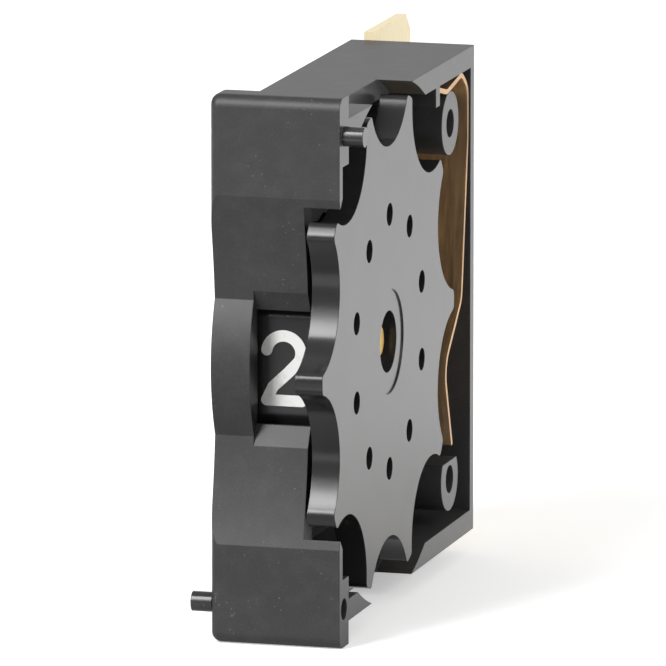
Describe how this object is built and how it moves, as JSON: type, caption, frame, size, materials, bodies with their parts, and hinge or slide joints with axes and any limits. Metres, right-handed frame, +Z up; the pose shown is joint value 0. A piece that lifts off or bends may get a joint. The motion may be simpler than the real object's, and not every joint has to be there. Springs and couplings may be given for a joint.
{
  "type": "thumbwheel switch",
  "caption": "Slim stackable switch module: a lobed thumbwheel turns a numbered drum behind a window and sweeps contacts over a code board at the rear.",
  "frame": {"origin": "midway between the two tie-rod holes, halfway across the module's width", "axes": "+X from the closed side to the open side, along the tie rods and the wheel's axle; -Y out of the panel's front; +Z up the bezel, as the digit reads"},
  "size_m": [0.0106, 0.0425, 0.033],
  "materials": {
    "black_case": "fine moulded texture",
    "black_wheel": "glossy moulding",
    "brass_pin": "turned",
    "steel_washer": "stamped",
    "bronze_leaf": "rolled strip",
    "cream_board": "pressed laminate",
    "gold_plate": "plated copper"
  },
  "bodies": {
    "case": {"housing": "black_case", "axle_pin": "brass_pin", "retaining_washer": "steel_washer", "detent_spring": "bronze_leaf", "code_board": "cream_board", "common_track": "gold_plate", "code_track_1": "gold_plate", "code_track_2": "gold_plate", "code_track_4": "gold_plate", "code_track_8": "gold_plate", "terminal_pads": "gold_plate"},
    "wheel": {"thumbwheel": "black_wheel", "wiper": "bronze_leaf"}
  },
  "joints": [
    {"name": "wheel_turn", "type": "hinge", "parent": "case", "child": "wheel", "pos_m": [0, -0.0139, 0], "axis": [1, 0, 0], "continuous": true, "deforming": ["detent_spring"]}
  ]
}
